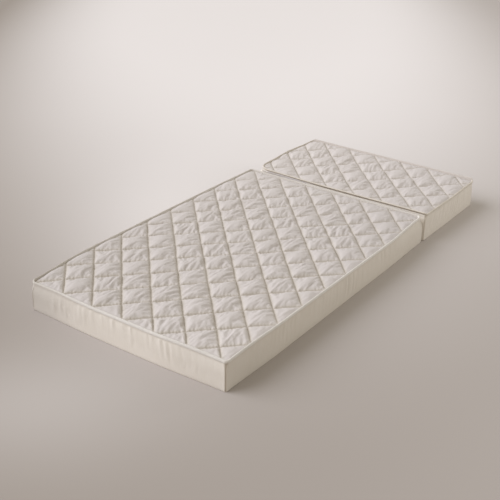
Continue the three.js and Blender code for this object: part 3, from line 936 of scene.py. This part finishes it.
def makeQuiltedTop(pad, sizes):
    lines = QuiltLines(pad, sizes)
    a, b, x, y, quads, rim = quiltSheet(pad, lines, sizes)
    points = np.column_stack([x, y, lines.height(a, b, x, y)])
    points = gatherCloth(pad, lines, a, b, points, quads, rim, gathering)
    print(f"{pad.name} face cloth gathered")
    coarse = addObject(f"{pad.name}_coarse", points, quads)
    setPointValues(coarse, "a", a)
    setPointValues(coarse, "b", b)
    finer = coarse.modifiers.new("finer", "SUBSURF")
    finer.levels = 1
    mesh = coarse.evaluated_get(bpy.context.evaluated_depsgraph_get()).to_mesh()
    top, a, b = meshPoints(mesh), pointValues(mesh, "a"), pointValues(mesh, "b")
    corners = np.empty(len(mesh.loops), np.int32)
    mesh.loops.foreach_get("vertex_index", corners)
    quads = corners.reshape(-1, 4)
    bpy.data.objects.remove(coarse, do_unlink=True)
    top[:, 2] += lines.ripples(a, b, top[:, 0], top[:, 1])

    loop = rimOf(quads)
    foot = top[loop].copy()
    foot[:, 2] = pad.panelBottom + np.minimum(pad.lift(foot[:, 0], foot[:, 1]), 0)
    count, base = len(loop), len(top)
    skirt = [(loop[i], base + i, base + (i + 1) % count, loop[(i + 1) % count]) for i in range(count)]
    faces = [*quads, *skirt, [base + i for i in reversed(range(count))]]
    panel = addObject(f"{pad.name}_quilted_panel", np.concatenate([top, foot]), faces, finishes["quilt"])
    x, y = top[:, 0], top[:, 1]
    middle, right, back, both = pad.fade
    slackened = mix(1.0, sizes["slackTint"], lines.slack(x, y))
    apart = lines.fromSeam(a, b)
    # painted shade in the seams' grooves, a beige band beside them, and painted light across the pad
    tints = {
        "seam": bell(apart, sizes["seamShadeWidth"]) * slackened,
        "beige": bell(apart, sizes["beigeTint"]) * slackened,
        "fade": np.clip(middle + right * x + back * y + both * x * y, 0, 1),
    }
    for name, tint in tints.items():
        setPointValues(panel, name, np.concatenate([tint, np.zeros(count)]))
    seat(panel, pad.body, "quilting", f"{pad.name}_quilted_top")
    pressFlat(panel)
    makeQuiltStitches(pad, lines, a, b, top, quiltThread)


# many short round-ended threads in one mesh, from their middles and directions
def threadMesh(name, middles, directions, thread):
    around, rows = 6, [(-1.0, 0.35), (-0.86, 0.85), (0.0, 1.0), (0.86, 0.85), (1.0, 0.35)]
    length, radius = thread["length"], thread["radius"]
    side = np.cross(directions, [0.0, 0.0, 1.0])
    side /= np.linalg.norm(side, axis=1)[:, None]
    up = np.cross(side, directions)
    points = []
    for along, thick in rows:
        sag = -radius * 0.8 * along ** 2
        for i in range(around):
            turn = 2 * math.pi * i / around
            points.append(
                middles + directions * (along * length / 2)
                + side * (radius * thick * math.cos(turn))
                + up * (radius * thick * math.sin(turn) + sag)
            )
    points = np.stack(points, axis=1)
    offsets = np.arange(len(middles)) * points.shape[1]
    faces = cappedTube(len(rows), around)
    everyFace = [[offset + i for i in face] for offset in offsets for face in faces]
    return addObject(name, points.reshape(-1, 3), everyFace, finishes["thread"])


# middles and directions of threads that start at given lengths along a line; ahead says where a
# thread's middle, start and end lie past that length
def alongLine(line, run, at, ahead):
    middles, starts, ends = (
        np.column_stack([np.interp(at + step, run, line[:, axis]) for axis in range(3)]) for step in ahead)
    heading = ends - starts
    return middles, heading / np.linalg.norm(heading, axis=1)[:, None]


# stitches lie in the valleys of the finished panel, whose points on each seam they follow
def makeQuiltStitches(pad, lines, a, b, top, thread):
    middles, directions = [], []
    for fixed, free in ((a, b), (b, a)):
        for line in range(math.floor(fixed.min()), math.ceil(fixed.max()) + 1):
            on = np.nonzero(np.abs(fixed - line) < 1e-3)[0]
            on = on[pad.inset(top[on, 0], top[on, 1]) > thread["fromEdge"]]
            if len(on) < 4:
                continue
            on = on[np.argsort(free[on])]
            run = free[on] * lines.side
            pitch, half = thread["pitch"], thread["length"] / 2
            at = np.arange(run[0] + pitch / 2, run[-1] - pitch / 2, pitch)
            middle, heading = alongLine(top[on], run, at, (0.0, -half, half))
            middles.append(middle + [0, 0, thread["lift"]])
            directions.append(heading)
    name = f"{pad.name}_quilt_stitches"
    stitches = threadMesh(name, np.concatenate(middles), np.concatenate(directions), thread)
    seat(stitches, pad.body, "quilting")
    pressFlat(stitches)


for pad in pads:
    makeQuiltedTop(pad, quilt)
print("quilted tops sewn")


# Side walls

wallCloth = {
    "thickness": 2.6 * mm,
    "bellyLow": 20 * mm,
    "bellyHigh": 60 * mm,
    "hemShare": 0.12,        # how far the hem is drawn in, against the shoulder
    "spacing": 4 * mm,
    "turnSteps": 14,
    "rows": 32,
    "top": 113.5 * mm,       # the wall's top edge, inside the binding
    "underRoll": 0.35 * mm,   # how far inside the binding's outer face it stands there
    "fold": 2.4 * mm,         # upright folds, this deep and this far apart
    "foldApart": 12 * mm,
    "wave": 1.2 * mm,         # long waves, and how far they draw the whole cloth in
    "waveIn": 0.8,
    "gather": 0.5 * mm,       # fine gathers at the binding
    "gatherApart": 6.5 * mm,
    "hemIn": 0.7 * mm,
    "seamWidth": 2.0 * mm,    # a corner seam's groove, and the ridge on each side of it
    "ridge": 0.5 * mm,
    "ridgeFrom": 5 * mm,
    "ridgeWidth": 2.5 * mm,
    "fullGroove": 1.5 * mm,   # a groove this deep has the seam's full painted shade
    "pleats": ((-13, 2.2), (-2, 1.9), (10, 1.5), (22, 1.0)),    # along the corner, and how deep
    "pleatWidth": 2.4 * mm,
    "pleatLean": 2.5 * mm,
    "pocketDepth": 1.5 * mm,
    "pocketMargin": 0.6 * mm,
    "pocketEdge": 1.6 * mm,
}
zipSides = {"long": 3, "short": 2}


def drawnAt(z, pad, sizes):    # the wall's own profile: hem, belly and shoulder
    hem = sizes["hemShare"] * (1 - ease(0, sizes["bellyLow"], z)) ** 1.5
    up = np.clip((z - sizes["bellyHigh"]) / (pad.wallTop - sizes["bellyHigh"]), 0, 1)
    return hem + up ** 2


def pocketShare(pad, points, z, sizes):    # 1 inside the zip's pocket, 0 outside it
    upper, lower = (np.array(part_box(f"{pad.name}_zip_tape_{half}")) for half in ("upper", "lower"))
    low, high = np.minimum(upper[0], lower[0]), np.maximum(upper[1], lower[1])
    axis = 1 - acrossAxis[zipSides[pad.name]]
    margin, edge = sizes["pocketMargin"], sizes["pocketEdge"]

    def within(value, axis):
        rise = ease(low[axis] - margin - edge, low[axis] - margin, value)
        return rise * (1 - ease(high[axis] + margin, high[axis] + margin + edge, value))

    return within(points[:, axis], axis) * within(z, 2)


def makeSideWall(pad, sizes):
    places = pad.places(sizes["spacing"], sizes["turnSteps"])
    along = places["along"]
    count = len(along)
    midSide = np.where(places["turning"], 0.0, np.sin(math.pi * places["share"]) ** 0.7)
    rows, seams = [], []
    for z in np.linspace(0, sizes["top"], sizes["rows"]):
        drawn = drawnAt(z, pad, sizes)
        ring, out = pad.ring(places, drawn, pad.tucks * min(drawn, 1))
        up = z / pad.wallTop
        window = ease(0.12, 0.45, up) * (1 - ease(0.92, 1.0, up) * 0.6)
        slant = along + 6 * mm * hills(along / 0.2, up * 1.5, 11)
        patches = mix(0.25, 1.0, ease(-0.2, 0.4, hills(along / 0.11, up * 0.7, 13)))
        folds = hills(slant / sizes["foldApart"], up * 1.1, 12) * patches
        broad = hills(along / 0.19, up * 0.9, 14) * 0.7 + hills(along / 0.07, up * 1.1, 15) * 0.3
        gathers = hills(along / sizes["gatherApart"], up * 2.5, 16) * ease(0.78, 1.0, up)
        broad = broad * ease(0.0, 0.3, up) * (1 - 0.7 * ease(0.85, 1.0, up))
        move = sizes["fold"] * folds * window * midSide
        move = move + sizes["wave"] * (broad - sizes["waveIn"])
        move = move + sizes["gather"] * gathers
        move = move - sizes["hemIn"] * (1 - ease(0.0, 3 * mm, z))
        seam = np.zeros(count)
        for corner, depth in enumerate(pad.cornerGrooves):
            away = pad.fromCorner(places, corner)
            if depth > 0:    # a sewn edge: a narrow groove with a small ridge on each side
                groove = bell(away, sizes["seamWidth"])
                ridges = bell(np.abs(away) - sizes["ridgeFrom"], sizes["ridgeWidth"])
                move = move - depth * groove + sizes["ridge"] * ridges
                # painted shade in the groove, stronger for a deeper groove
                seam = np.maximum(seam, groove * min(1, depth / sizes["fullGroove"]))
            else:            # eased round the corner in pleats
                for offset, deep in sizes["pleats"]:
                    aside = offset * mm + sizes["pleatLean"] * (up - 0.5)
                    pleat = bell(pad.fromCorner(places, corner, aside), sizes["pleatWidth"])
                    move = move - deep * mm * pleat * ease(0.1, 0.6, up)
        pocket = pocketShare(pad, ring, z, sizes) * (places["side"] == zipSides[pad.name])
        move = np.where(pocket > 0, mix(move, -sizes["pocketDepth"], pocket), move)
        underRoll = ease(pad.wallTop - 3 * mm, pad.rollBottom + 1 * mm, z)
        move = mix(move, np.full(count, -sizes["underRoll"]), underRoll)
        height = z - pad.drop(*ring.T) * min(up, 1) ** 2
        rows.append(np.column_stack([ring + out * move[:, None], height]))
        seams.append(seam)
    for z in (sizes["top"], 0.5 * pad.wallTop, 0.0):
        drawn = drawnAt(z, pad, sizes)
        ring, _ = pad.ring(places, drawn, sizes["thickness"] + pad.tucks * min(drawn, 1))
        height = z - pad.drop(*ring.T) * min(z / pad.wallTop, 1) ** 2
        rows.append(np.column_stack([ring, height]))
        seams.append(np.zeros(count))
    faces = tubeFaces(len(rows), count)
    wall = addObject(f"{pad.name}_wall_cloth", np.concatenate(rows), faces, finishes["wall"])
    setPointValues(wall, "seam", np.concatenate(seams))
    # painted shade towards the corners
    setPointValues(wall, "soil", np.tile(pad.shaded(places), len(rows)))
    seat(wall, pad.body, "wall_cloth", f"{pad.name}_side_wall")


for pad in pads:
    makeSideWall(pad, wallCloth)
print("side walls sewn")


# Bindings: tape folded over the raw edges of panel and wall and sewn down as a small roll

binding = {
    "spacing": 3.5 * mm,
    "turnSteps": 16,
    "overhang": 0.1 * mm,     # the roll stands a little proud of the wall under it
    "ripple": 0.5 * mm,
    "pucker": 0.5 * mm,
    "sections": 24,
    "innerFoot": 2.0 * mm,    # how far over the panel's underside the inner foot stands
    "shallow": 0.45,          # how much of the tape's reach shows where it is turned under
    "deep": 0.85,             # and on the right side, where most of it shows
    "widening": (0.02, 0.38),    # the long pad's front tape widens from the left corner between these
    "tuckBelow": 0.6,         # the tuck under the roll ends at this share of its height
    # how much of the corners' painted shade the rolls take
    "cornerSoil": 0.4,
}
# the roll's section from its outer foot over the crest to its inner foot: across and up, as shares
rollSection = [
    (0.1, 0), (0.0, 0.2), (0.0, 0.45), (0.12, 0.74), (0.34, 0.94),
    (0.56, 1.0), (0.8, 0.92), (0.96, 0.66), (1.0, 0.35), (0.99, 0),
]


def makeBinding(pad, sizes):
    places = pad.places(sizes["spacing"], sizes["turnSteps"])
    along, side, share = places["along"], places["side"], places["share"]
    count = len(along)
    knots = np.array(rollSection)
    position = np.linspace(0, len(knots) - 1, sizes["sections"])
    section = np.column_stack([np.interp(position, np.arange(len(knots)), knots[:, i]) for i in range(2)])
    crestAt = int(np.argmax(section[:, 1]))
    crestZ = pad.rollTop + pad.bySide(places, pad.rollRise)
    less, most = sizes["shallow"], sizes["deep"]
    if pad.name == "long":
        widening = mix(less, 1.0, ease(*sizes["widening"], share))
        reach = pad.bySide(places, (1.0, most, less, less))
        reach = np.where((side == 0) & ~places["turning"], widening, reach)
        reach = np.where((side == 3) & places["turning"], less, reach)
    else:
        reach = pad.bySide(places, (less, most, less, less))
    outerZ = mix(crestZ, np.full(count, pad.rollBottom), reach)
    innerZ = np.full(count, pad.panelBottom + sizes["innerFoot"])
    ripple = hills(along / 0.03, 0.5, 21) * sizes["ripple"]
    pucker = hills(along / 0.009, 0.5, 22) * sizes["pucker"]
    footShade = pad.bySide(places, pad.footShade)
    # painted shade towards the corners and along some rolls
    shaded = sizes["cornerSoil"] * pad.shaded(places) + pad.bySide(places, pad.rollSoil)
    rows = []
    values = {"along": [], "across": [], "edge": [], "foot": [], "soil": []}
    walked = np.zeros(count)
    for number, (inShare, upShare) in enumerate(section):
        outside = number <= crestAt
        tuck = (1 - ease(0.0, sizes["tuckBelow"], upShare)) * outside
        ring, out = pad.ring(places, 1.0, pad.rollWidths * inShare + pad.tucks * tuck)
        overhang = sizes["overhang"] * (1 - inShare) * min(1, upShare + 0.4)
        move = (ripple + pucker * upShare) * upShare ** 0.5 + overhang
        z = mix(outerZ if outside else innerZ, crestZ, upShare)
        z = z + (ripple + pucker) * 0.5 * upShare - pad.drop(*ring.T)
        rows.append(np.column_stack([ring + out * move[:, None], z]))
        if number:
            walked = walked + np.linalg.norm(rows[-1] - rows[-2], axis=1)
        values["along"].append(along)
        values["across"].append(walked)
        values["edge"].append(np.full(count, 1 - ease(0.0, 0.3, upShare)))
        values["foot"].append(footShade * (1 - ease(0.3, 0.97, upShare)) * outside)
        values["soil"].append(np.minimum(shaded, 1))
    faces = tubeFaces(len(rows), count)
    roll = addObject(f"{pad.name}_binding_roll", np.concatenate(rows), faces, finishes[f"{pad.name}_binding"])
    for name, parts in values.items():
        setPointValues(roll, name, np.concatenate(parts))
    seat(roll, pad.body, "binding", f"{pad.name}_top_binding")
    pressFlat(roll)
    return places, outerZ


bindingThread = {
    "pitch": 5.2 * mm, "length": 3.9 * mm, "radius": 0.3 * mm,
    "overFoot": 1.6 * mm, "proud": 0.55 * mm, "tuck": 0.9,
}


def makeBindingStitches(pad, sizes, thread, places, outerZ):
    ring, out = pad.ring(places, 1.0, pad.tucks * thread["tuck"])
    height = outerZ + thread["overFoot"] - pad.drop(*ring.T)
    line = np.column_stack([ring + out * (sizes["overhang"] + thread["proud"]), height])
    line = np.concatenate([line, line[:1]])
    run = np.concatenate([[0], np.cumsum(np.linalg.norm(np.diff(line, axis=0), axis=1))])
    at = np.arange(0, run[-1] - thread["pitch"], thread["pitch"])
    length = thread["length"]
    middles, directions = alongLine(line, run, at, (length / 2, 0.0, length))
    stitches = threadMesh(f"{pad.name}_binding_stitches", middles, directions, thread)
    seat(stitches, pad.body, "binding")
    pressFlat(stitches)


for pad in pads:
    makeBindingStitches(pad, binding, bindingThread, *makeBinding(pad, binding))
print("bindings rolled")


# Foam cores and base cloths

inside = {
    "clear": 3.8 * mm, "spacing": 12 * mm, "turnSteps": 8,
    "coreEdge": 1.5 * mm, "coreLevels": 9, "baseEdge": 0.5 * mm,
}


def makeFilled(pad, name, rows, finish):
    places = pad.places(inside["spacing"], inside["turnSteps"])
    rings = []
    for z, depth in rows:
        drawn = drawnAt(z, pad, wallCloth)
        ring, _ = pad.ring(places, drawn, depth + pad.tucks * min(drawn, 1))
        rings.append(np.column_stack([ring, np.full(len(ring), z)]))
    faces = cappedTube(len(rings), len(rings[0]))
    return addObject(f"{pad.name}_{name}", np.concatenate(rings), faces, finish)


def makeInside(pad):
    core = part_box(f"{pad.name}_foam_core")
    edge, clear = inside["coreEdge"], inside["clear"]
    levels = np.linspace(core[0].z + edge, core[1].z - edge, inside["coreLevels"])
    rows = [(core[0].z, clear + edge), *((z, clear) for z in levels), (core[1].z, clear + edge)]
    foam = makeFilled(pad, "foam_block", rows, finishes["foam"])
    seat(foam, pad.body, "foam", f"{pad.name}_foam_core")
    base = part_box(f"{pad.name}_base_cloth")
    middle = mix(base[0].z, base[1].z, 0.5)
    rows = [(base[0].z, clear + inside["baseEdge"]), (middle, clear), (base[1].z, clear)]
    cloth = makeFilled(pad, "base_sheet", rows, finishes["base"])
    seat(cloth, pad.body, "base_cloth", f"{pad.name}_base_cloth")


for pad in pads:
    makeInside(pad)
print("cores and bases laid")


# The hinge strip hangs between the two bindings, in two halves

hinge = {
    "thickness": 1.2 * mm, "across": 11, "along": 180,    # cells across each half and along it
    "wave": 0.8 * mm, "below": 7 * mm, "sag": 9 * mm,
    "sharpFrom": 60,    # degrees
}
hingeHalves = (
    ("hinge_cloth_front", -1, 0, ("long_pad", "hinge"), "long_binding_roll"),
    ("hinge_cloth_back", 0, 1, ("hinge", "short_pad"), "short_binding_roll"),
)


def makeHinge(sizes):
    low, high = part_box("hinge_strip")
    middle = (low.y + high.y) / 2
    half = sizes["thickness"] / 2
    span = (high.y - low.y) / 2 - half
    top = high.z - half - sizes["below"]
    for name, first, last, bodies, roll in hingeHalves:
        x = np.linspace(low.x, high.x, sizes["along"])
        x, share = np.meshgrid(x, np.linspace(first, last, sizes["across"]), indexing="ij")
        belly = 1 - share ** 2
        z = top - sizes["sag"] * belly + sizes["wave"] * belly * hills(x / 0.04, share * 0.8, 31)
        y = middle + span * share + 0.3 * sizes["wave"] * belly * hills(x / 0.03, share, 32)
        slope = np.gradient(z, axis=1) / np.gradient(y, axis=1)
        normal = np.stack([np.zeros_like(slope), -slope, np.ones_like(slope)], axis=-1)
        normal /= np.linalg.norm(normal, axis=-1)[..., None]
        sheet = np.stack([x, y, z], axis=-1)
        section = np.concatenate([sheet + normal * half, (sheet - normal * half)[:, ::-1]], axis=1)
        faces = cappedTube(sizes["along"], section.shape[1])
        strip = addObject(name, section.reshape(-1, 3), faces, finishes["hinge"])
        faceOutwards(strip)
        strip.data.set_sharp_from_angle(angle=math.radians(sizes["sharpFrom"]))
        starts, stops = (0, middle + span * first, top), (0, middle + span * last, top)
        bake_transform(strip)
        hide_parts("hinge_strip")


makeHinge(hinge)
print("hinge strip hung")


# Zips

zipLooks = {
    "pitch": 2.0 * mm,
    "wire": 0.62 * mm,
    "around": 6,        # points round the wire, and rows along one loop
    "rows": 9,
    "slant": 0.25,
    "flatten": 0.2,
    "bevel": 0.25 * mm,
}


# a nylon coil: slanting loops side by side, in the place of the plain bar
def makeCoil(name, body, node, looks):
    low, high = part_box(node)
    sizes = high - low
    axis = 1 if sizes.y > sizes.x else 0
    other = 1 - axis
    outward = 1 if abs(high[other]) > abs(low[other]) else -1
    pitch, wire, around, rows = (looks[key] for key in ("pitch", "wire", "around", "rows"))
    loops = int(sizes[axis] / pitch)
    start = low[axis] + (np.arange(loops)[:, None, None] + 0.5) * sizes[axis] / loops
    share = (np.arange(rows) / (rows - 1))[None, :, None]
    turn = (2 * math.pi * np.arange(around) / around)[None, None, :]
    bow = np.sin(math.pi * share)
    points = np.zeros((loops, rows, around, 3))
    points[..., axis] = start + (share - 0.5) * looks["slant"] * pitch + wire * np.cos(turn)
    middle = mix(low[other], high[other], 0.5) + (bow - 0.5) * (sizes[other] - 2 * wire) * outward
    points[..., other] = middle + wire * np.sin(turn) * (1 - bow * looks["flatten"])
    points[..., 2] = mix(low.z + wire, high.z - wire, share)
    offsets = range(0, loops * rows * around, rows * around)
    faces = [[offset + i for i in face] for offset in offsets for face in cappedTube(rows, around)]
    coil = addObject(name, points.reshape(-1, 3), faces, finishes["nylon"])
    faceOutwards(coil)
    seat(coil, body, "zip_nylon", node)


def dressNode(name, finish, bevel=None):
    node = frame["nodes"][name]
    node.data.materials.clear()
    node.data.materials.append(finish)
    if bevel:
        softened = node.modifiers.new("softened", "BEVEL")
        softened.width = bevel
        softened.segments = 2
        softened.limit_method = "ANGLE"


for pad in pads:
    for half in ("upper", "lower"):
        makeCoil(f"{pad.name}_coil_{half}", pad.body, f"{pad.name}_zip_teeth_{half}", zipLooks)
        dressNode(f"{pad.name}_zip_tape_{half}", finishes["tape"])
    for part in ("stop_closed", "stop_open", "slider", "pull"):
        dressNode(f"{pad.name}_zip_{part}", finishes["metal"], zipLooks["bevel"])
print("zips fitted")


# Floor and light

studio = {
    "floorSize": 60.0,
    "darkColour": (0.375, 0.332, 0.30),
    "lightColour": (0.86, 0.823, 0.82),
    # a wide pool of light beyond the pads, along the line of sight and across it, in metres
    "pool": {"centre": (5.0, -0.14), "size": (4.35, 1.58), "inner": 0.33, "outer": 2.2, "share": 1.0},
    # outside the pool the floor's colour is painted light and shade too, and the two paler places beside the
    # long pad are painted light
    "near": {"share": 0.08, "slope": 0.08},    # outside the pool, and how it changes to the right
    "patches": (                               # two paler places beside the long pad
        {"centre": (-1.1, -0.78), "size": (0.32, 0.44), "share": 0.3},
        {"centre": (0.16, -0.51), "size": (0.70, 0.38), "share": 0.3},
    ),
    "worldColour": (1.0, 0.94, 0.81),
    "worldStrength": 0.51,
    "window": {    # height and spread in degrees
        "towards": (-0.82, -0.57), "height": 36.0, "spread": 52.0,
        "strength": 2.35, "colour": (0.97, 0.993, 1.085),
    },
    "fill": {"place": (2.6, 3.6, 0.9), "size": 1.6, "strength": 33.0, "colour": (0.98, 1.0, 1.04)},
}


# a lamp at a place, turned to the middle of the floor
def addLamp(name, kind, look, place):
    data = bpy.data.lights.new(name, kind)
    data.energy = look["strength"]
    data.color = look["colour"]
    lamp = bpy.data.objects.new(name, data)
    lamp.location = place
    lamp.rotation_euler = (-Vector(place)).to_track_quat("-Z", "Y").to_euler()
    scene.collection.objects.link(lamp)
    return data


def makeStudio(look):
    made = Finish("studio_floor")
    patches = made.noise(1.2, 2.0)
    sight = (-math.cos(cameraView["bearing"]), -math.sin(cameraView["bearing"]))
    away = made.x * sight[0] + made.y * sight[1]
    aside = made.x * sight[1] - made.y * sight[0]

    def squaredDistance(place):    # from a place's centre, in its own sizes
        deep = (away - place["centre"][0]) * (1 / place["size"][0])
        wide = (aside - place["centre"][1]) * (1 / place["size"][1])
        return deep * deep + wide * wide

    # the floor's colour paints a pool of light, the light and shade outside it, and two paler places of light
    pool, near = look["pool"], look["near"]
    nearShare = near["share"] + aside * near["slope"]
    inPool = 1.0 - squaredDistance(pool).between(pool["inner"], pool["outer"])
    share = nearShare + (pool["share"] - nearShare) * inPool
    for patch in look["patches"]:
        falloff = 0.0 - squaredDistance(patch)
        share = share + falloff.maths("EXPONENT", falloff) * patch["share"]
    finish = made.paint(
        colour=made.blendColours(share + (patches - 0.5) * 0.03, look["darkColour"], look["lightColour"]),
        roughness=0.8 + patches * 0.1,
        specular=0.2,
    )
    half = look["floorSize"] / 2
    corners = [(-half, -half, 0), (half, -half, 0), (half, half, 0), (-half, half, 0)]
    floor = addObject("studio_floor", corners, [(0, 1, 2, 3)], finish, smooth=False)
    scene.world = world = bpy.data.worlds.new("studio_light")
    world.use_nodes = True
    background = world.node_tree.nodes["Background"]
    background.inputs["Color"].default_value = (*look["worldColour"], 1.0)
    background.inputs["Strength"].default_value = look["worldStrength"]

    window, fill = look["window"], look["fill"]
    height = math.radians(window["height"])
    aside = math.cos(height) * Vector(window["towards"]).normalized()
    sun = addLamp("window", "SUN", window, 3 * Vector((*aside, math.sin(height))))
    sun.angle = math.radians(window["spread"])
    disk = addLamp("fill", "AREA", fill, fill["place"])
    disk.shape = "DISK"
    disk.size = fill["size"]


makeStudio(studio)
print("studio lit")
